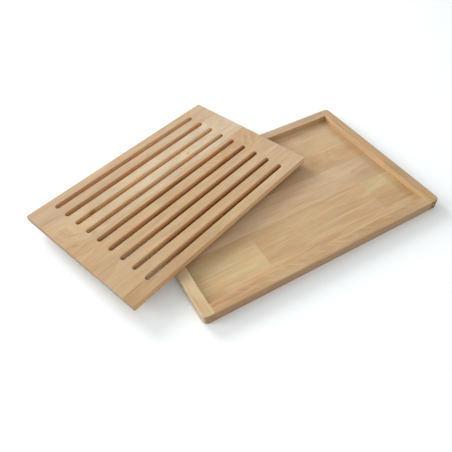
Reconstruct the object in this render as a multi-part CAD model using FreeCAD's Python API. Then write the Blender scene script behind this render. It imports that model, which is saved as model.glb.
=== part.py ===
import FreeCAD, Part
import os

from FreeCAD import Placement, Rotation, Vector

# A bread board in two loose halves, in millimetres. Below is a crumb tray, a shallow wooden frame
# round a glued-up floor. Above is a slotted board, glued up from staves, that drops into the
# tray's recess with its top level with the rim. Here it is laid askew on the rim instead.
#
# The origin is the middle of the tray's underside. X runs along the tray, Y across it and Z up.
# The front is at -Y, and the board overhangs the tray at the left and the back.

# Tray, outside
tray_length = 475.0
tray_width = 322.0
tray_height = 20.0
tray_corner_radius = 10.0
tray_arris = 2.0

# Tray frame
rim_width = 19.5
rim_inner_arris = 1.0

# Slotted board
board_thickness = 11.0
board_clearance = 1.0
board_drop = 0.0
board_corner_radius = 2.0
board_arris = 1.0

# Slots, all alike and side by side
slot_count = 9
slot_width = 8.4
slot_end_margin = 46.0
edge_slat_width = 19.2
slot_arris = 1.6

# Tongue round the floor panel, and the groove in the frame that holds it
tongue_thickness = 3.0
tongue_length = 4.0
groove_glue_room = 0.5

# Staves as ripped, from the front to the back. They are spread to fill the panel they make.
floor_stave_widths = [19.5, 73.0, 61.0, 45.0, 43.0, 41.5]
board_stave_widths = [24.5, 70.0, 58.5, 75.5, 52.5]

# One floor stave is joined end to end from three blocks, from the left to the right
jointed_stave = 2
jointed_block_lengths = [124.0, 244.0, 68.0]
jointed_block_names = ["left", "middle", "right"]

# How the board lies on the rim: its centre from the tray's left end and back, and its turn
board_centre_from_left = 78.2
board_centre_from_back = 54.6
board_turn = 19.0

# Sizes that follow from the ones above
recess_length = tray_length - 2 * rim_width
recess_width = tray_width - 2 * rim_width
recess_depth = board_thickness + board_drop
floor_thickness = tray_height - recess_depth
board_length = recess_length - 2 * board_clearance
board_width = recess_width - 2 * board_clearance
slot_length = board_length - 2 * slot_end_margin
first_slot_y = board_width / 2 - edge_slat_width - slot_width / 2
slot_pitch = 2 * first_slot_y / (slot_count - 1)
groove_depth = tongue_length + groove_glue_room


def block(x0, x1, y0, y1, z0, z1):
    """A plain box between two corners."""
    return Part.makeBox(x1 - x0, y1 - y0, z1 - z0, Vector(x0, y0, z0))


def centred_block(length, width, z0, z1):
    """A plain box about the Z axis."""
    return block(-length / 2, length / 2, -width / 2, width / 2, z0, z1)


def is_level(edge):
    """True for an edge that lies in a level plane."""
    return edge.BoundBox.ZLength < 1e-4


def rounded_slab(length, width, thickness, corner_radius, arris):
    """A slab on the XY plane with round corners in plan, its top and bottom edges softened."""
    slab = centred_block(length, width, 0, thickness)
    slab = slab.makeFillet(corner_radius, [edge for edge in slab.Edges if not is_level(edge)])
    return slab.makeFillet(arris, [edge for edge in slab.Edges if is_level(edge)])


def split_points(widths, start, total):
    """Where strips laid side by side begin and end when they are spread to fill the total."""
    scale = total / sum(widths)
    points = [start]
    for width in widths:
        points.append(points[-1] + width * scale)
    return points


def single(shape):
    """The one solid that a cut or a common part leaves."""
    solids = shape.removeSplitter().Solids
    if len(solids) != 1:
        raise ValueError("a piece fell into %d solids" % len(solids))
    return solids[0]


def tray_frame():
    """The whole frame of the tray before it is parted into strips, grooved for the floor."""
    frame = rounded_slab(tray_length, tray_width, tray_height, tray_corner_radius, tray_arris)
    frame = frame.cut(centred_block(recess_length, recess_width, -1, tray_height + 1))
    inner_top = [
        edge for edge in frame.Edges
        if is_level(edge)
        and abs(edge.BoundBox.ZMax - tray_height) < 1e-4
        and abs(edge.BoundBox.XMin) < recess_length / 2 + 1e-4
        and abs(edge.BoundBox.YMin) < recess_width / 2 + 1e-4
        and abs(edge.BoundBox.XMax) < recess_length / 2 + 1e-4
        and abs(edge.BoundBox.YMax) < recess_width / 2 + 1e-4
    ]
    frame = frame.makeFillet(rim_inner_arris, inner_top)
    groove_bottom = (floor_thickness - tongue_thickness) / 2
    groove_top = groove_bottom + tongue_thickness
    along_length = centred_block(recess_length, recess_width + 2 * groove_depth, groove_bottom, groove_top)
    along_width = centred_block(recess_length + 2 * groove_depth, recess_width, groove_bottom, groove_top)
    return frame.cut(along_length).cut(along_width)


def tray_strips():
    """The four strips: the end strips run the full width, and the long ones butt between them."""
    frame = tray_frame()
    far = tray_length
    inner_x = recess_length / 2
    spans = {
        "tray_end_strip_left": (-far, -inner_x, -far, far),
        "tray_end_strip_right": (inner_x, far, -far, far),
        "tray_long_strip_front": (-inner_x, inner_x, -far, 0),
        "tray_long_strip_back": (-inner_x, inner_x, 0, far),
    }
    strips = {}
    for name, (x0, x1, y0, y1) in spans.items():
        strips[name] = single(frame.common(block(x0, x1, y0, y1, 0, tray_height)))
    return strips


def floor_panel():
    """The whole floor of the tray, with a tongue on all four edges."""
    bottom = (floor_thickness - tongue_thickness) / 2
    top = bottom + tongue_thickness
    panel = centred_block(recess_length, recess_width, 0, floor_thickness)
    panel = panel.fuse(centred_block(recess_length, recess_width + 2 * tongue_length, bottom, top))
    return panel.fuse(centred_block(recess_length + 2 * tongue_length, recess_width, bottom, top))


def floor_staves():
    """The floor parted into staves, one of them parted again into its end-jointed blocks."""
    panel = floor_panel()
    edges = split_points(floor_stave_widths, -recess_width / 2, recess_width)
    edges[0] -= tongue_length
    edges[-1] += tongue_length
    ends = split_points(jointed_block_lengths, -recess_length / 2, recess_length)
    ends[0] -= tongue_length
    ends[-1] += tongue_length
    staves = {}
    for number, (y0, y1) in enumerate(zip(edges, edges[1:]), start=1):
        name = "tray_floor_stave_%d" % number
        if number == jointed_stave:
            for suffix, x0, x1 in zip(jointed_block_names, ends, ends[1:]):
                piece = panel.common(block(x0, x1, y0, y1, 0, floor_thickness))
                staves[name + "_" + suffix] = single(piece)
        else:
            piece = panel.common(block(ends[0], ends[-1], y0, y1, 0, floor_thickness))
            staves[name] = single(piece)
    return staves


def slot_cutter(y):
    """A round-ended bar along X that cuts one slot through the board."""
    radius = slot_width / 2
    straight = slot_length / 2 - radius
    left_back = Vector(-straight, y + radius, 0)
    left_front = Vector(-straight, y - radius, 0)
    right_back = Vector(straight, y + radius, 0)
    right_front = Vector(straight, y - radius, 0)
    left_end = Part.Arc(left_back, Vector(-slot_length / 2, y, 0), left_front)
    right_end = Part.Arc(right_front, Vector(slot_length / 2, y, 0), right_back)
    outline = Part.Wire([
        left_end.toShape(),
        Part.makeLine(left_front, right_front),
        right_end.toShape(),
        Part.makeLine(right_back, left_back),
    ])
    return Part.Face(outline).extrude(Vector(0, 0, board_thickness))


def slotted_board():
    """The whole slotted board about its own centre, its underside on the XY plane."""
    board = rounded_slab(board_length, board_width, board_thickness, board_corner_radius, board_arris)
    for number in range(slot_count):
        board = board.cut(slot_cutter(first_slot_y - number * slot_pitch))
    half_slots = slot_length / 2 + 1e-4
    slot_rims = [
        edge for edge in board.Edges
        if is_level(edge)
        and abs(edge.BoundBox.XMin) < half_slots
        and abs(edge.BoundBox.XMax) < half_slots
        and abs(edge.BoundBox.YMin) < first_slot_y + slot_width / 2 + 1e-4
        and abs(edge.BoundBox.YMax) < first_slot_y + slot_width / 2 + 1e-4
    ]
    return board.makeFillet(slot_arris, slot_rims)


def board_staves():
    """The slotted board parted into its staves, and laid on the rim of the tray."""
    board = slotted_board()
    place = Placement(
        Vector(
            board_centre_from_left - tray_length / 2,
            tray_width / 2 - board_centre_from_back,
            tray_height,
        ),
        Rotation(Vector(0, 0, 1), board_turn),
    )
    edges = split_points(board_stave_widths, -board_width / 2, board_width)
    half = board_length / 2
    staves = {}
    for number, (y0, y1) in enumerate(zip(edges, edges[1:]), start=1):
        stave = single(board.common(block(-half, half, y0, y1, 0, board_thickness)))
        stave.Placement = place
        staves["board_stave_%d" % number] = stave
    return staves


pieces = {}
pieces.update(tray_strips())
pieces.update(floor_staves())
pieces.update(board_staves())

os.makedirs("parts", exist_ok=True)
for name, shape in pieces.items():
    shape.exportStep("parts/%s.step" % name)
    print("%-28s %9.0f mm3" % (name, shape.Volume))
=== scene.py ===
import math
from collections import namedtuple

import bpy
from mathutils import Matrix, Vector

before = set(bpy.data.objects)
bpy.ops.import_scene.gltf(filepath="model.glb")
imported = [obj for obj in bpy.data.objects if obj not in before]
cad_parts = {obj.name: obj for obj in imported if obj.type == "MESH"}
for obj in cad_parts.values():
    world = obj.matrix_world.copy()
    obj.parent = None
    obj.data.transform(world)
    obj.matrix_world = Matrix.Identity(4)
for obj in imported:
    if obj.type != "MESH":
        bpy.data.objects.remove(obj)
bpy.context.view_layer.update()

# Looks of a two-piece bread board: pale, fine-pored wood, glued up from staves and strips.
# The scene is in metres. The wood's figure is in millimetres, in a wood frame that each piece has:
# X runs along its grain, Y across it and Z up.

MM = 0.001

# The camera, solved from the tray's straight edges in the 452 by 452 picture
IMAGE_WIDTH = 452
FOCAL_PIXELS = 459.46
SENSOR_WIDTH = 36.0
CAMERA_AZIMUTH = -28.21
CAMERA_ELEVATION = 48.73
CAMERA_ROLL = -2.12
CAMERA_DISTANCE = 0.8104
CAMERA_TARGET = Vector((-0.11176, -0.00547, 0.0))

# The studio: a broad soft light behind, weaker ones at the left and in front, and an even surround.
# Each light is (azimuth, elevation, distance, size, power), in degrees, metres and watts.
LIGHTS = {
    "key": (13.0, 24.5, 2.6, 1.4, 62.0),
    "fill_left": (68.0, 21.0, 3.0, 2.0, 56.0),
    "fill_front": (180.0, 22.0, 3.0, 2.4, 24.0),
}
SURROUND_COLOUR = (1.0, 1.0, 1.0, 1.0)
SURROUND_STRENGTH = 0.62
FLOOR_COLOUR = (0.88, 0.905, 0.91)
FLOOR_ROUGHNESS = 0.7
FLOOR_SPECULAR = 0.1
FLOOR_HALF_SIZE = 4.0
FLOOR_BELOW = 0.3 * MM

# How the slotted board lies on the tray: its centre in millimetres and its turn in degrees
BOARD_CENTRE = (-159.3, 106.4)
BOARD_TURN = 19.0

# Painted light and shade on the board's upright faces: how much lighter or darker they are painted than
# its top, for the light each kind of face gets, in red, green and blue: its long sides, its ends, and
# the walls and rims of its slots, painted darker and warmer as the shade inside them. The slots' are
# (how far across the slots reach, gain, gain at the foot of a wall, painted darker still as shade where
# the tray lies below).
BOARD_SIDE_LIGHT = (1.4, 1.3, 1.2)
BOARD_END_LIGHT = (0.78, 0.93, 1.28)
CUTS_LIMIT = 138.0
BOARD_SLOT_SHADE = (CUTS_LIMIT, (0.88, 0.80, 0.72), (0.9, 0.68, 0.42))
PALE_STAVE_SLOT_SHADE = (CUTS_LIMIT, (0.97, 0.91, 0.86), (0.97, 0.88, 0.75))

# Dark and light wood, and drifts of hue, as shares of the colour of the wood round them
DARK_WOOD = (0.70, 0.60, 0.48)
LIGHT_WOOD = (1.12, 1.16, 1.22)
WARM_DRIFT = (1.03, 0.965, 0.91)
COOL_DRIFT = (0.975, 1.01, 1.04)

# Pores and dark spots have a tone of their own. Tones are 0 to 255 display values.
PORE_TONE = (96, 62, 34)
SPOT_TONE = (112, 66, 34)

# The wood's noise patterns. Each has its patch size in millimetres, along the grain and aside of it,
# an offset that makes it differ from the others, and the noise's own detail and roughness. Aside is
# across the grain, or out from the pith where a pattern follows the rings.
Pattern = namedtuple("Pattern", "along aside offset detail roughness", defaults=(0.0, 2.0, 0.5))
WIDE_WAVE = Pattern(150, 55, detail=1.5)
SMALL_WAVE = Pattern(46, 15, 2.0)
RING_FADE = Pattern(90, 8, 3.0)
EYE_OUTLINE = Pattern(24, 13, 23.0, 3.0)
BAND = Pattern(190, 7.5, 13.0)
STREAK = Pattern(100, 2.6, 0.0, 4.0, 0.62)
PATCH = Pattern(75, 30, 7.0)
FLECK = Pattern(44, 1.9, 17.0, 2.0, 0.6)
HUE = Pattern(34, 14, 11.0, 1.5)
NOISE_MIDDLE = 0.5

# The patterns change slowly with height, at this size
SLICE_HEIGHT = 30

# Growth rings: how far small waves move them, and how uneven their widths are. Ranges are where in a
# ring, from 0 to 1, it darkens and ends, and where in the noise the dark line shows.
SMALL_WAVE_HEIGHT = 5.0
RING_UNEVENNESS = 7.0
RING_UNEVEN_SIZE = 9
RING_UNEVEN_OFFSET = 5.0
RING_DARKENS = (0.2, 0.9)
RING_ENDS = (1.0, 0.9)
RING_SHOWS = (0.38, 0.66)

# How uneven the outline of an eye is, as a share of its size
EYE_UNEVENNESS = 1.8

# Where in the noise a pattern darkens and lightens the wood. Strengths are (darker, lighter), and a
# piece's own contrast multiplies them.
DARK_RANGE = (0.28, 0.52)
LIGHT_RANGE = (0.48, 0.72)
BAND_STRENGTH = (0.62, 1.10)
STREAK_STRENGTH = (0.52, 0.90)
FLECK_STRENGTH = (0.62, 0.90)
PATCH_RANGE = (0.35, 0.70)
PATCH_STRENGTH = 0.30
WARM_RANGE = (0.50, 0.72)
COOL_RANGE = (0.50, 0.28)

# How far, in millimetres, the patches push about the edge of the sapwood and the line of a streak,
# and where a streak fades out, as a share of its size
SAPWOOD_WAVE = 16.0
STREAK_WAVE = 9.0
STREAK_EDGE = (1.0, 0.2)

# Fibres, pores and dark spots. Pores crowd in places, which have a patch size like a pattern's.
FIBRE_LENGTH = 16
FIBRES_PER_MM = 2.6
FIBRE_ROUGHNESS = 0.6
FIBRE_RANGE = (0.30, 0.75)
FIBRE_STRENGTH = 0.10
PORE_LENGTH = 14
PORE_EDGE = (0.16, 0.07)
PORE_CROWDING = (60, 2.5)
PORE_SHOWS = (0.42, 0.6)
PORE_STRENGTH = 0.34
SPOT_STRETCH = 1.6
SPOT_EDGE = (1.25, 0.45)
SPOT_UNEVENNESS = 0.8

# Faces are told apart by the part of their normal that points along the grain, across it, up or down
END_FACING = (0.40, 0.85)
SIDE_FACING = (0.75, 0.98)
CUT_FACING = (0.995, 0.90)
FOOT_FACING = (0.05, 0.35)
UNDERSIDE_FACING = (0.995, 0.95)

# Places on a piece, in millimetres: how far in its outer ends reach, how softly the slots' painted shade
# ends at the board's edges, how high the foot of a slot's wall is, with its darker painted shade, where
# along the board the tray lies under the slots, and how wide a glue line is
OUTER_END = (14.0, 12.0)
CUT_EDGE_WIDTH = 2.0
CUT_BOTTOM = (6.0, 0.5)
CUT_OVER_TRAY = (-120.0, -30.0)
GLUE_LINE = (0.30, 0.05)

# How far towards dark wood the end grain, the lower arrises and the glue lines go. The lower arrises' is
# painted shade, as they face down and get little light.
END_DARKNESS = 0.42
FOOT_SHADE = 0.75
GLUE_LINE_DARKNESS = 0.35

# The surface, and what its small relief and its roughness take from the patterns
BUMP_STRENGTH = 0.35
BUMP_HEIGHT = 0.12 * MM
FIBRE_RELIEF = 0.35
PORE_RELIEF = -0.9
STREAK_RELIEF = 0.25
STREAK_RANGE = (0.3, 0.7)
WOOD_ROUGHNESS = (0.45, 0.55)
PATCH_ROUGHNESS = 0.10
END_ROUGHNESS = 0.12
WOOD_SPECULAR = 0.42

# The front strip's figure, as streaks: pale flecks that cross the grain on a slant. Each is
# (along, aside of the strip's middle line, half length, slope, strength).
FRONT_STRIP_MIDDLE = -147.0
SLANTED_HALF_WIDTH = 2.4
SLANTED_FLECKS = [
    (-171.0, 1.0, 15.0, -0.45, 0.45),
    (-148.0, -1.5, 19.0, -0.55, 0.55),
    (-112.0, 0.5, 14.0, -0.5, 0.75),
    (-88.0, 2.0, 12.0, -0.4, 0.5),
    (-66.0, -0.5, 19.0, -0.55, 0.8),
    (-44.0, 1.5, 13.0, -0.45, 0.5),
    (-16.0, -1.0, 18.0, -0.4, 0.65),
    (8.0, 1.0, 13.0, -0.6, 0.5),
    (28.0, -0.5, 20.0, -0.5, 0.8),
    (52.0, 2.0, 13.0, -0.4, 0.5),
    (86.0, -1.0, 16.0, -0.55, 0.5),
    (128.0, 1.0, 14.0, -0.45, 0.55),
    (176.0, 0.0, 17.0, -0.5, 0.45),
]

# Painted shade: the floor is painted darker towards the right wall, as shade at its foot, as one wide
# soft streak across all of its staves
WALL_SHADE = (212.0, 0.0, 17.0, 400.0, 0.0, -0.5)


def linear(red, green, blue):
    """A colour given as 0 to 255 display values, as the linear colour a shader takes."""
    def one(value):
        """One channel, with the standard display curve undone."""
        value /= 255.0
        return value / 12.92 if value <= 0.04045 else ((value + 0.055) / 1.055) ** 2.4
    return (one(red), one(green), one(blue), 1.0)


class Nodes:
    """A material's node tree, with one short call for each kind of node it uses."""

    def __init__(self, name):
        self.material = bpy.data.materials.new(name)
        self.material.use_nodes = True
        self.tree = self.material.node_tree
        self.tree.nodes.clear()

    def add(self, kind, inputs=(), **settings):
        """A node of that kind. Inputs are values, colours or other nodes' outputs."""
        node = self.tree.nodes.new(kind)
        for name, value in settings.items():
            setattr(node, name, value)
        for key, value in dict(inputs).items():
            self.feed(node.inputs[key], value)
        return node

    def feed(self, socket, value):
        """Links an output to the socket, or sets its value."""
        if isinstance(value, bpy.types.NodeSocket):
            self.tree.links.new(value, socket)
        else:
            socket.default_value = value

    def math(self, operation, first, second=0.0, third=0.0):
        """The output of one math node."""
        inputs = {0: first, 1: second, 2: third}
        return self.add("ShaderNodeMath", inputs, operation=operation).outputs[0]

    def product(self, first, second):
        """The first times the second."""
        return self.math("MULTIPLY", first, second)

    def product_plus(self, first, second, third):
        """The product of the first two, plus the third."""
        return self.math("MULTIPLY_ADD", first, second, third)

    def difference(self, first, second):
        """The first less the second."""
        return self.math("SUBTRACT", first, second)

    def centred(self, noise, amount):
        """Noise shifted to lie round 0, and made that many times as strong."""
        return self.product_plus(noise, amount, -amount * NOISE_MIDDLE)

    def vector(self, x, y, z):
        """A vector put together from its parts."""
        return self.add("ShaderNodeCombineXYZ", {0: x, 1: y, 2: z}).outputs[0]

    def parts(self, vector):
        """The X, Y and Z of a vector."""
        return self.add("ShaderNodeSeparateXYZ", {0: vector}).outputs

    def noise(self, position, detail=2.0, roughness=0.5):
        """Soft noise from 0 to 1, its patches about one unit wide."""
        inputs = {"Vector": position, "Scale": 1.0, "Detail": detail, "Roughness": roughness}
        return self.add("ShaderNodeTexNoise", inputs).outputs["Fac"]

    def remap(self, value, low, high, to_low=0.0, to_high=1.0, smooth=True):
        """The value carried from one range into another, and held at its ends."""
        inputs = {"Value": value, "From Min": low, "From Max": high, "To Min": to_low, "To Max": to_high}
        kind = "SMOOTHSTEP" if smooth else "LINEAR"
        return self.add("ShaderNodeMapRange", inputs, interpolation_type=kind).outputs[0]

    def ramp(self, factor, colours):
        """Colours spread evenly from factor 0 to 1."""
        node = self.add("ShaderNodeValToRGB", {"Fac": factor})
        stops = node.color_ramp.elements
        stops.remove(stops[1])
        stops[0].color = colours[0]
        for number, colour in enumerate(colours[1:], start=1):
            stops.new(number / (len(colours) - 1)).color = colour
        return node.outputs["Color"]

    def mix(self, factor, first, second, blend="MIX"):
        """The first colour, blended with the second as far as the factor says."""
        node = self.add("ShaderNodeMix", data_type="RGBA", blend_type=blend)
        first_socket, second_socket = [socket for socket in node.inputs if socket.type == "RGBA"]
        self.feed(node.inputs[0], factor)
        self.feed(first_socket, first)
        self.feed(second_socket, second)
        return [socket for socket in node.outputs if socket.type == "RGBA"][0]

    def tint(self, factor, colour, shares):
        """The colour times shares of red, green and blue, as far as the factor says."""
        return self.mix(factor, colour, tuple(shares) + (1.0,), "MULTIPLY")

    def far(self, terms, uneven=0.0):
        """Distance from a spot's middle as a share of its size. Terms are (offset, half size) pairs."""
        total = 0.0
        for offset, half_size in terms:
            part = self.product(offset, 1 / half_size)
            total = self.product_plus(part, part, total)
        return self.math("ADD", self.math("SQRT", total), uneven)


class Wood:
    """The wood of one piece: its coordinates, its patterns, and its colour as that is built up."""

    def __init__(self, node, turn, centre, seed):
        rotation = Matrix.Rotation(math.radians(-turn), 3, "Z")
        shift = -(rotation @ Vector((centre[0], centre[1], 0.0)))
        points = [rotation @ (v.co / MM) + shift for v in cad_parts[node].data.vertices]
        self.low = [min(p[k] for p in points) for k in range(3)]
        self.high = [max(p[k] for p in points) for k in range(3)]
        self.seed = seed
        self.nodes = n = Nodes("wood_" + node)
        coordinates = n.add("ShaderNodeTexCoord").outputs
        mapping = n.add("ShaderNodeMapping", {
            "Vector": coordinates["Object"],
            "Location": shift,
            "Rotation": (0.0, 0.0, math.radians(-turn)),
            "Scale": (1 / MM, 1 / MM, 1 / MM),
        })
        self.along, self.across, self.height = n.parts(mapping.outputs[0])
        facing = n.add("ShaderNodeVectorRotate", {
            "Vector": coordinates["Normal"],
            "Angle": math.radians(-turn),
        }, rotation_type="Z_AXIS")
        self.facing = n.parts(facing.outputs[0])
        self.from_end = self.from_nearer_end(self.along, 0)
        self.end = n.remap(n.math("ABSOLUTE", self.facing[0]), *END_FACING)

    def from_nearer_end(self, position, axis):
        """How far a position on one axis is from the nearer end of the piece on that axis."""
        n = self.nodes
        after = n.difference(position, self.low[axis])
        before = n.difference(self.high[axis], position)
        return n.math("MINIMUM", after, before)

    def pattern(self, pattern, aside):
        """One of the noise patterns, different for every piece."""
        n = self.nodes
        z = n.product_plus(self.height, 1 / SLICE_HEIGHT, self.seed + pattern.offset)
        x, y = n.product(self.along, 1 / pattern.along), n.product(aside, 1 / pattern.aside)
        return n.noise(n.vector(x, y, z), pattern.detail, pattern.roughness)

    def find_radius(self, pith, lean, sweep, eyes):
        """Distance from the pith, waved by noise and lifted at each eye."""
        n = self.nodes
        middle = [(low + high) / 2 for low, high in zip(self.low, self.high)]
        off_y = n.difference(self.across, middle[1] + pith[0])
        off_y = n.product_plus(self.along, -lean, off_y)
        off_z = n.difference(self.height, middle[2] + pith[1])
        squares = n.math("ADD", n.product(off_y, off_y), n.product(off_z, off_z))
        radius = n.math("SQRT", squares)
        radius = n.product_plus(self.pattern(WIDE_WAVE, self.across), 2 * sweep, radius)
        radius = n.product_plus(self.pattern(SMALL_WAVE, self.across), SMALL_WAVE_HEIGHT, radius)
        if eyes:
            uneven = n.centred(self.pattern(EYE_OUTLINE, self.across), EYE_UNEVENNESS)
        for along, across, half_length, half_width, lift in eyes:
            far = n.far([
                (n.difference(self.along, along), half_length),
                (n.difference(self.across, across), half_width),
            ], uneven)
            hill = n.math("POWER", math.e, n.product(n.product(far, far), -1.0))
            radius = n.product_plus(hill, lift, radius)
        self.radius = radius

    def find_patterns(self):
        """Bands and streaks that follow the rings, and patches, flecks, drifts of hue and fibres."""
        n = self.nodes
        self.band = self.pattern(BAND, self.radius)
        self.streak = self.pattern(STREAK, self.radius)
        self.patch = self.pattern(PATCH, self.across)
        self.fleck = self.pattern(FLECK, self.across)
        self.hue = self.pattern(HUE, self.across)
        self.fibre = n.noise(n.vector(
            n.product(self.along, 1 / FIBRE_LENGTH),
            n.product(self.across, FIBRES_PER_MM),
            n.product(self.height, FIBRES_PER_MM),
        ), roughness=FIBRE_ROUGHNESS)

    def late_wood(self, ring):
        """Rings of uneven width: a slow darkening that ends at a line, and fades in and out."""
        n = self.nodes
        out = n.product(self.radius, 1 / RING_UNEVEN_SIZE)
        wave = n.noise(n.vector(out, self.seed + RING_UNEVEN_OFFSET, 0.0), 1.0)
        uneven = n.product_plus(wave, RING_UNEVENNESS, self.radius)
        turns = n.math("FRACT", n.product(uneven, 1 / ring))
        late = n.product(n.remap(turns, *RING_DARKENS), n.remap(turns, *RING_ENDS))
        return n.product(late, n.remap(self.pattern(RING_FADE, self.radius), *RING_SHOWS))

    def find_pores(self):
        """Short dark dashes along the grain, and dots on the end grain, crowded in places."""
        n = self.nodes
        pores = n.add("ShaderNodeTexVoronoi", {
            "Vector": n.vector(n.product(self.along, 1 / PORE_LENGTH), self.across, self.height),
            "Scale": 1.0,
            "Randomness": 1.0,
        }, feature="F1")
        length, width = PORE_CROWDING
        place = n.vector(n.product(self.along, 1 / length), n.product(self.radius, 1 / width), self.seed)
        crowding = n.noise(place, 1.0)
        self.pore = n.product(
            n.remap(pores.outputs["Distance"], *PORE_EDGE),
            n.remap(crowding, *PORE_SHOWS),
        )

    def start_colour(self, tones, sapwood):
        """The tones along the grain and the sapwood, and the dark and light wood that go with them."""
        n = self.nodes
        place = n.remap(self.along, self.low[0], self.high[0], smooth=False)
        self.colour = n.ramp(place, [linear(*tone) for tone in tones])
        if sapwood:
            edge, softness, tone = sapwood
            across = n.product_plus(n.difference(self.patch, NOISE_MIDDLE), SAPWOOD_WAVE, self.across)
            share = n.remap(across, edge - softness / 2, edge + softness / 2)
            self.colour = n.mix(share, self.colour, linear(*tone))
        self.dark = n.tint(1.0, self.colour, DARK_WOOD)
        self.light = n.tint(1.0, self.colour, LIGHT_WOOD)

    def blend(self, share, colour):
        """Takes the piece's colour towards another one."""
        self.colour = self.nodes.mix(share, self.colour, colour)

    def tint(self, share, shares):
        """Multiplies the piece's colour by shares of red, green and blue."""
        self.colour = self.nodes.tint(share, self.colour, shares)

    def add_figure(self, ring, contrast, lines, drift):
        """Bands, streaks and flecks, the lines of the rings, darker patches, and drifts of hue."""
        n = self.nodes
        layers = (
            (self.band, BAND_STRENGTH),
            (self.streak, STREAK_STRENGTH),
            (self.fleck, FLECK_STRENGTH),
        )
        for noise, (darker, lighter) in layers:
            self.blend(n.remap(noise, *DARK_RANGE, darker * contrast, 0.0), self.dark)
            self.blend(n.remap(noise, *LIGHT_RANGE, 0.0, lighter * contrast), self.light)
        self.blend(n.product(self.late_wood(ring), lines), self.dark)
        self.blend(n.remap(self.patch, *PATCH_RANGE, PATCH_STRENGTH * contrast, 0.0), self.dark)
        self.tint(n.remap(self.hue, *WARM_RANGE), [share ** drift for share in WARM_DRIFT])
        self.tint(n.remap(self.hue, *COOL_RANGE), [share ** drift for share in COOL_DRIFT])

    def add_streaks(self, streaks):
        """Single pale and dark streaks, placed one by one. Some dark ones are painted shade, along the
        tray's right wall and in its back right inner corner.
        """
        n = self.nodes
        for along, across, half_length, half_width, slope, strength in streaks:
            from_middle = n.difference(self.along, along)
            aside = n.product_plus(from_middle, -slope, n.difference(self.across, across))
            aside = n.product_plus(n.difference(self.patch, NOISE_MIDDLE), STREAK_WAVE, aside)
            far = n.far([(from_middle, half_length), (aside, half_width)])
            target = self.light if strength > 0 else self.dark
            self.blend(n.remap(far, *STREAK_EDGE, 0.0, abs(strength)), target)

    def add_fibres_and_pores(self):
        """The finest marks: darker fibres, and the dark dashes of the pores."""
        n = self.nodes
        self.blend(n.remap(self.fibre, *FIBRE_RANGE, FIBRE_STRENGTH, 0.0), self.dark)
        self.blend(n.product(self.pore, PORE_STRENGTH), linear(*PORE_TONE))

    def add_spots(self, spots):
        """Small dark spots, placed one by one."""
        n = self.nodes
        for along, across, height, radius, strength in spots:
            far = n.far([
                (n.difference(self.along, along), radius * SPOT_STRETCH),
                (n.difference(self.across, across), radius),
                (n.difference(self.height, height), radius),
            ], n.centred(self.fibre, SPOT_UNEVENNESS))
            self.blend(n.remap(far, *SPOT_EDGE, 0.0, strength), linear(*SPOT_TONE))

    def tone_end_grain_and_face_light(self, sides, ends):
        """End grain is darker. Upright sides and the piece's outer ends also have their own gains:
        painted light and shade for how those faces are lit, and at the tray's corners also darker end
        grain.
        """
        n = self.nodes
        self.blend(n.product(self.end, END_DARKNESS), self.dark)
        self.tint(n.remap(n.math("ABSOLUTE", self.facing[1]), *SIDE_FACING), sides)
        self.tint(n.product(self.end, n.remap(self.from_end, *OUTER_END)), ends)

    def paint_slot_shade(self, limit, gain, bottom_shade):
        """Painted shade on the walls and rims of the slots, and darker painted shade at the foot of
        their walls where the tray lies below.
        """
        n = self.nodes
        not_level = n.remap(n.math("ABSOLUTE", self.facing[2]), *CUT_FACING)
        cut = n.product(not_level, n.remap(self.from_end, *reversed(OUTER_END)))
        cut = n.product(cut, n.remap(n.math("ABSOLUTE", self.across), limit, limit - CUT_EDGE_WIDTH))
        self.tint(cut, gain)
        bottom = n.product(cut, n.remap(self.height, *(self.low[2] + above for above in CUT_BOTTOM)))
        bottom = n.product(bottom, n.remap(self.along, *CUT_OVER_TRAY))
        self.tint(bottom, bottom_shade)

    def shade_feet_and_mark_glue_lines(self):
        """The lower arrises are painted darker as shade, since they face down and get little light, and
        glued edges show a dark hair line.
        """
        n = self.nodes
        down = n.product(self.facing[2], -1.0)
        foot = n.product(n.remap(down, *FOOT_FACING), n.remap(down, *UNDERSIDE_FACING))
        self.blend(n.product(foot, FOOT_SHADE), self.dark)
        from_edge = self.from_nearer_end(self.across, 1)
        self.blend(n.remap(from_edge, *GLUE_LINE, 0.0, GLUE_LINE_DARKNESS), self.dark)

    def make_surface(self):
        """The shader: the colour, a small relief and an uneven, dull gloss."""
        n = self.nodes
        relief = n.product_plus(self.fibre, FIBRE_RELIEF, n.product(self.pore, PORE_RELIEF))
        relief = n.product_plus(self.streak, STREAK_RELIEF, relief)
        bump = n.add("ShaderNodeBump", {
            "Strength": BUMP_STRENGTH,
            "Distance": BUMP_HEIGHT,
            "Height": relief,
        })
        rough = n.remap(self.streak, *STREAK_RANGE, *WOOD_ROUGHNESS)
        rough = n.product_plus(self.patch, PATCH_ROUGHNESS, rough)
        rough = n.product_plus(self.end, END_ROUGHNESS, rough)
        shader = n.add("ShaderNodeBsdfPrincipled", {
            "Base Color": self.colour,
            "Roughness": rough,
            "Normal": bump.outputs[0],
            "Specular IOR Level": WOOD_SPECULAR,
        })
        n.add("ShaderNodeOutputMaterial", {"Surface": shader.outputs[0]})
        return n.material


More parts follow.
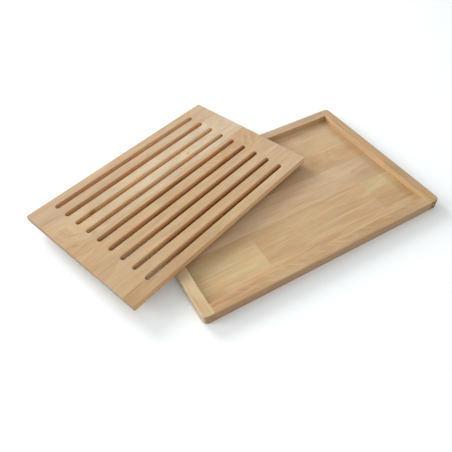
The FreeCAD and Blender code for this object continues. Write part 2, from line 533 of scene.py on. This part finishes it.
def wood(node, tones, seed, pith, ring, contrast, turn=0.0, centre=(0.0, 0.0), lean=0.0, sweep=5.0,
         lines=0.3, drift=1.0, sides=(1.0, 1.0, 1.0), ends=(1.0, 1.0, 1.0), eyes=(), streaks=(),
         spots=(), sapwood=None, cuts=None):
    """Paints one piece of wood. All lengths are millimetres in the piece's wood frame.

    tones: the wood's tones along the grain, evenly spaced from one end to the other.
    seed: sets the piece's noise apart from the other pieces'.
    pith: where the rings' centre lies across and above the piece's own middle.
    ring: how wide a growth ring is.
    contrast: how strong the figure is.
    turn, centre: how the wood frame lies in the scene, in degrees and millimetres.
    lean: how far the pith moves across for each millimetre along the grain.
    sweep: how far wide waves move the rings to either side.
    lines: how strong the dark lines are that end the rings.
    drift: how strongly the hue turns warmer and cooler in places.
    sides, ends: gains of the upright faces along the grain, and of those at the piece's outer ends:
    painted light and shade for how those faces are lit, and at the tray's corners also darker end grain.
    eyes: swirls, each (along, across, half length, half width, lift).
    streaks: (along, across, half length, half width, slope, strength), pale, or dark if below zero.
    spots: dark flecks, each (along, across, height, radius, strength).
    sapwood: (edge across, softness, tone), a paler stretch past that edge.
    cuts: (limit across, gain, gain at the bottom), painted shade on the slots' walls inside that limit,
    darker at the foot over the tray.
    """
    piece = Wood(node, turn, centre, seed)
    piece.find_radius(pith, lean, sweep, eyes)
    piece.find_patterns()
    piece.find_pores()
    piece.start_colour(tones, sapwood)
    piece.add_figure(ring, contrast, lines, drift)
    piece.add_streaks(streaks)
    piece.add_fibres_and_pores()
    piece.add_spots(spots)
    piece.tone_end_grain_and_face_light(sides, ends)
    if cuts:
        piece.paint_slot_shade(*cuts)
    piece.shade_feet_and_mark_glue_lines()
    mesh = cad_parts[node].data
    mesh.materials.clear()
    mesh.materials.append(piece.make_surface())
    for polygon in mesh.polygons:
        polygon.material_index = 0


def paint_tray():
    """The crumb tray: four strips of the frame, and the staves and blocks of the floor."""
    # The sides gains on the strips are painted light and shade on their upright faces
    wood(
        "tray_end_strip_left", [(197, 174, 137)], turn=90.0, seed=1.0,
        pith=(4.0, -120.0), ring=5.0, contrast=0.55,
        sides=(0.84, 1.0, 1.38), ends=(0.56, 0.50, 0.47),
        streaks=[
            (-98.0, 228.0, 20.0, 16.0, 0.0, 0.45),
            (-142.0, 228.0, 26.0, 16.0, 0.0, -0.35),
        ],
    )
    wood(
        "tray_end_strip_right", [(180, 150, 109), (182, 151, 116)], turn=90.0, seed=2.0,
        pith=(30.0, -60.0), ring=3.6, contrast=0.8, drift=1.6,
        sides=(1.30, 1.33, 1.32), ends=(0.50, 0.48, 0.46),
    )
    wood(
        "tray_long_strip_front", [(179, 144, 104), (185, 157, 121), (188, 158, 121)], seed=3.0,
        pith=(2.0, -26.0), ring=3.4, lean=0.06, sweep=9.0, contrast=0.7,
        sides=(0.67, 0.63, 0.66),
        streaks=[
            (along, FRONT_STRIP_MIDDLE + aside, half_length, SLANTED_HALF_WIDTH, slope, strength)
            for along, aside, half_length, slope, strength in SLANTED_FLECKS
        ],
    )
    wood(
        "tray_long_strip_back", [(183, 158, 130)], seed=4.0,
        pith=(14.0, -60.0), ring=3.8, contrast=0.42,
        sides=(1.18, 0.96, 0.62),
        # Painted shade in the back right inner corner
        streaks=[(212.0, 140.5, 14.0, 4.5, 0.0, -1.0)],
    )
    wood(
        "tray_floor_stave_1", [(204, 173, 131), (198, 166, 125), (200, 171, 131)], seed=5.0,
        pith=(-6.0, -34.0), ring=3.2, contrast=0.65,
        streaks=[
            (90.0, -134.5, 115.0, 2.2, 0.0, 0.9),
            (20.0, -127.0, 90.0, 2.6, 0.0, -0.28),
            (-190.0, -131.0, 30.0, 8.0, 0.0, -0.30),
            WALL_SHADE,
        ],
    )
    wood(
        # The left end is painted lighter: painted light that offsets the shade of the left wall
        "tray_floor_stave_2_left", [(196, 166, 124), (186, 156, 116)], seed=6.0,
        pith=(20.0, -55.0), ring=4.6, contrast=0.34,
        sapwood=(-68.0, -22.0, (199, 174, 130)),
    )
    wood(
        "tray_floor_stave_2_middle", [(188, 158, 117), (190, 160, 122)], seed=7.0,
        pith=(-9.0, -48.0), ring=4.8, contrast=0.5,
        eyes=[(-78.0, -78.0, 44.0, 11.0, 10.0)],
        streaks=[
            (80.0, -97.5, 88.0, 2.2, 0.0, 0.8),
            (75.0, -118.0, 90.0, 2.2, 0.0, 0.8),
            (100.0, -54.5, 50.0, 2.0, 0.0, 0.6),
            (88.0, -92.0, 68.0, 2.2, 0.0, -0.40),
            (60.0, -106.0, 95.0, 5.0, 0.0, -0.22),
            (90.0, -63.0, 62.0, 2.6, 0.0, -0.32),
        ],
    )
    wood(
        "tray_floor_stave_2_right", [(182, 152, 110)], seed=8.0,
        pith=(30.0, -50.0), ring=4.4, contrast=0.5,
        sapwood=(-80.0, 16.0, (193, 171, 130)),
        streaks=[(180.0, -77.0, 36.0, 2.0, 0.0, -0.30), WALL_SHADE],
    )
    wood(
        "tray_floor_stave_3", [(212, 181, 143), (184, 158, 126)], seed=9.0,
        pith=(-34.0, -90.0), ring=5.2, contrast=0.36,
        streaks=[
            (150.0, -12.0, 55.0, 9.0, 0.1, 0.5),
            (165.0, -17.0, 14.0, 3.5, 0.2, -0.35),
            WALL_SHADE,
        ],
    )
    wood(
        "tray_floor_stave_4", [(186, 155, 116)], seed=10.0,
        pith=(6.0, -40.0), ring=4.4, contrast=0.48,
        eyes=[(122.0, 42.0, 26.0, 14.0, 11.0)],
        streaks=[WALL_SHADE],
    )
    wood(
        "tray_floor_stave_5", [(189, 161, 125)], seed=11.0,
        pith=(24.0, -80.0), ring=4.8, contrast=0.4,
        streaks=[(150.0, 60.0, 70.0, 3.0, 0.0, 0.5), WALL_SHADE],
    )
    wood(
        "tray_floor_stave_6", [(192, 163, 128)], seed=12.0,
        pith=(-16.0, -70.0), ring=4.4, contrast=0.6,
        streaks=[
            (160.0, 98.5, 70.0, 2.4, 0.0, 0.9),
            # Painted shade in the back right inner corner
            (214.0, 140.0, 18.0, 12.0, 0.0, -1.0),
            WALL_SHADE,
        ],
    )


def board_wood(number, tones, cuts=BOARD_SLOT_SHADE, **figure):
    """Paints one stave of the slotted board, numbered from the front to the back."""
    wood(
        "board_stave_%d" % number, tones, turn=BOARD_TURN, centre=BOARD_CENTRE, seed=20.0 + number,
        sides=BOARD_SIDE_LIGHT, ends=BOARD_END_LIGHT, cuts=cuts, **figure,
    )


def paint_board():
    """The slotted board: five staves, from the front to the back."""
    board_wood(
        1, [(168, 135, 93), (190, 162, 124), (193, 167, 134)],
        pith=(-14.0, -40.0), ring=3.6, contrast=0.54,
        streaks=[
            (-198.0, -117.0, 34.0, 1.8, 0.0, -0.75),
            (35.0, -129.0, 45.0, 1.8, -0.1, -0.4),
        ],
        spots=[
            (-96.0, -138.0, 25.0, 2.6, 0.7),
            (214.0, -137.0, 22.0, 2.2, 0.9),
        ],
    )
    board_wood(
        2, [(180, 152, 115), (185, 155, 117), (190, 163, 131)],
        pith=(28.0, -80.0), ring=4.8, contrast=0.46,
        streaks=[(-200.0, -57.0, 36.0, 2.0, 0.0, -0.6)],
    )
    board_wood(
        3, [(175, 143, 100), (186, 157, 120), (187, 155, 120)],
        pith=(-3.0, -34.0), ring=4.4, contrast=0.75, lines=0.4, drift=2.0,
        eyes=[
            (92.0, -16.0, 22.0, 10.0, 12.0),
            (196.0, -12.0, 18.0, 12.0, 14.0),
        ],
        streaks=[
            (-190.0, -5.0, 26.0, 2.5, 0.0, -0.45),
            (-192.0, 8.0, 14.0, 5.0, 0.3, -0.25),
            (184.0, -12.0, 18.0, 2.6, 0.9, 0.8),
            (190.0, -16.0, 20.0, 2.2, 0.9, -0.5),
            (196.0, -20.0, 20.0, 2.6, 0.9, 0.8),
            (203.0, -24.0, 20.0, 2.2, 0.9, -0.45),
            (210.0, -28.0, 18.0, 2.6, 0.9, 0.6),
            (84.0, -14.0, 13.0, 2.2, -0.9, 0.6),
            (93.0, -15.0, 13.0, 2.0, -0.9, -0.45),
            (101.0, -16.0, 13.0, 2.2, -0.9, 0.5),
        ],
    )
    board_wood(
        4, [(173, 142, 98), (194, 175, 145), (197, 178, 150)], cuts=PALE_STAVE_SLOT_SHADE,
        pith=(20.0, -90.0), ring=5.4, contrast=0.6, lines=0.45, drift=1.6,
        eyes=[
            (-198.0, 56.0, 22.0, 19.0, 11.0),
            (-172.0, 30.0, 20.0, 14.0, -7.0),
        ],
        streaks=[
            (-150.0, 40.0, 16.0, 7.0, -0.3, 0.6),
            (-199.0, 58.0, 8.0, 17.0, 0.0, -0.38),
            (-189.0, 41.0, 14.0, 4.0, -0.5, -0.5),
            (-183.0, 57.0, 7.0, 17.0, 0.15, 0.6),
            (-206.0, 42.0, 10.0, 6.0, 0.5, 0.35),
            (-202.0, 21.0, 9.0, 6.0, -0.5, -0.6),
            (-164.0, 20.0, 7.0, 6.0, 0.0, -0.6),
            (-148.0, 18.0, 10.0, 6.0, 0.0, 0.5),
        ],
        spots=[
            (-135.0, 61.0, 27.0, 5.5, 0.6),
            (83.0, 42.0, 31.0, 3.0, 0.35),
        ],
    )
    board_wood(
        5, [(165, 135, 94), (179, 150, 117), (186, 163, 133)],
        pith=(-24.0, -70.0), ring=4.6, contrast=0.62, drift=2.0,
        streaks=[(-200.0, 99.0, 30.0, 5.0, 0.0, -0.6)],
    )


def floor_material():
    """A plain, even and matt material for the floor, which isn't part of the object."""
    n = Nodes("floor")
    shader = n.add("ShaderNodeBsdfPrincipled", {
        "Base Color": FLOOR_COLOUR + (1.0,),
        "Roughness": FLOOR_ROUGHNESS,
        "Specular IOR Level": FLOOR_SPECULAR,
    })
    n.add("ShaderNodeOutputMaterial", {"Surface": shader.outputs[0]})
    return n.material


def lay_floor():
    """A plain pale floor just under the tray."""
    s = FLOOR_HALF_SIZE
    mesh = bpy.data.meshes.new("floor")
    corners = [(x, y, -FLOOR_BELOW) for x, y in ((-s, -s), (s, -s), (s, s), (-s, s))]
    mesh.from_pydata(corners, [], [(0, 1, 2, 3)])
    mesh.materials.append(floor_material())
    floor = bpy.data.objects.new("floor", mesh)
    bpy.context.collection.objects.link(floor)


def direction(azimuth, elevation):
    """A unit vector towards a place, its azimuth measured from +Y towards -X."""
    a, e = math.radians(azimuth), math.radians(elevation)
    return Vector((-math.sin(a) * math.cos(e), math.cos(a) * math.cos(e), math.sin(e)))


def light_studio():
    """The lights round the object, and the even surround."""
    for name, (azimuth, elevation, distance, size, power) in LIGHTS.items():
        data = bpy.data.lights.new(name, "AREA")
        data.shape = "DISK"
        data.size = size
        data.energy = power
        light = bpy.data.objects.new(name, data)
        towards = direction(azimuth, elevation)
        light.location = CAMERA_TARGET + towards * distance
        light.rotation_mode = "QUATERNION"
        light.rotation_quaternion = towards.to_track_quat("Z", "Y")
        bpy.context.collection.objects.link(light)
    world = bpy.data.worlds.new("studio")
    world.use_nodes = True
    background = world.node_tree.nodes["Background"]
    background.inputs["Color"].default_value = SURROUND_COLOUR
    background.inputs["Strength"].default_value = SURROUND_STRENGTH
    bpy.context.scene.world = world


def place_camera():
    """The camera at the photograph's angle. Its azimuth is measured from -Y towards +X."""
    a, e, r = (math.radians(angle) for angle in (CAMERA_AZIMUTH, CAMERA_ELEVATION, CAMERA_ROLL))
    back = Vector((math.sin(a) * math.cos(e), -math.cos(a) * math.cos(e), math.sin(e)))
    level = Vector((math.cos(a), math.sin(a), 0.0))
    above = back.cross(level)
    right = math.cos(r) * level + math.sin(r) * above
    up = math.cos(r) * above - math.sin(r) * level
    data = bpy.data.cameras.new("camera")
    data.sensor_width = SENSOR_WIDTH
    data.lens = FOCAL_PIXELS / IMAGE_WIDTH * SENSOR_WIDTH
    camera = bpy.data.objects.new("camera", data)
    turn = Matrix((right, up, back)).transposed().to_4x4()
    camera.matrix_world = Matrix.Translation(CAMERA_TARGET + back * CAMERA_DISTANCE) @ turn
    bpy.context.collection.objects.link(camera)
    bpy.context.scene.camera = camera


place_camera()
light_studio()
lay_floor()
paint_tray()
paint_board()
bpy.context.scene.view_settings.view_transform = "Standard"
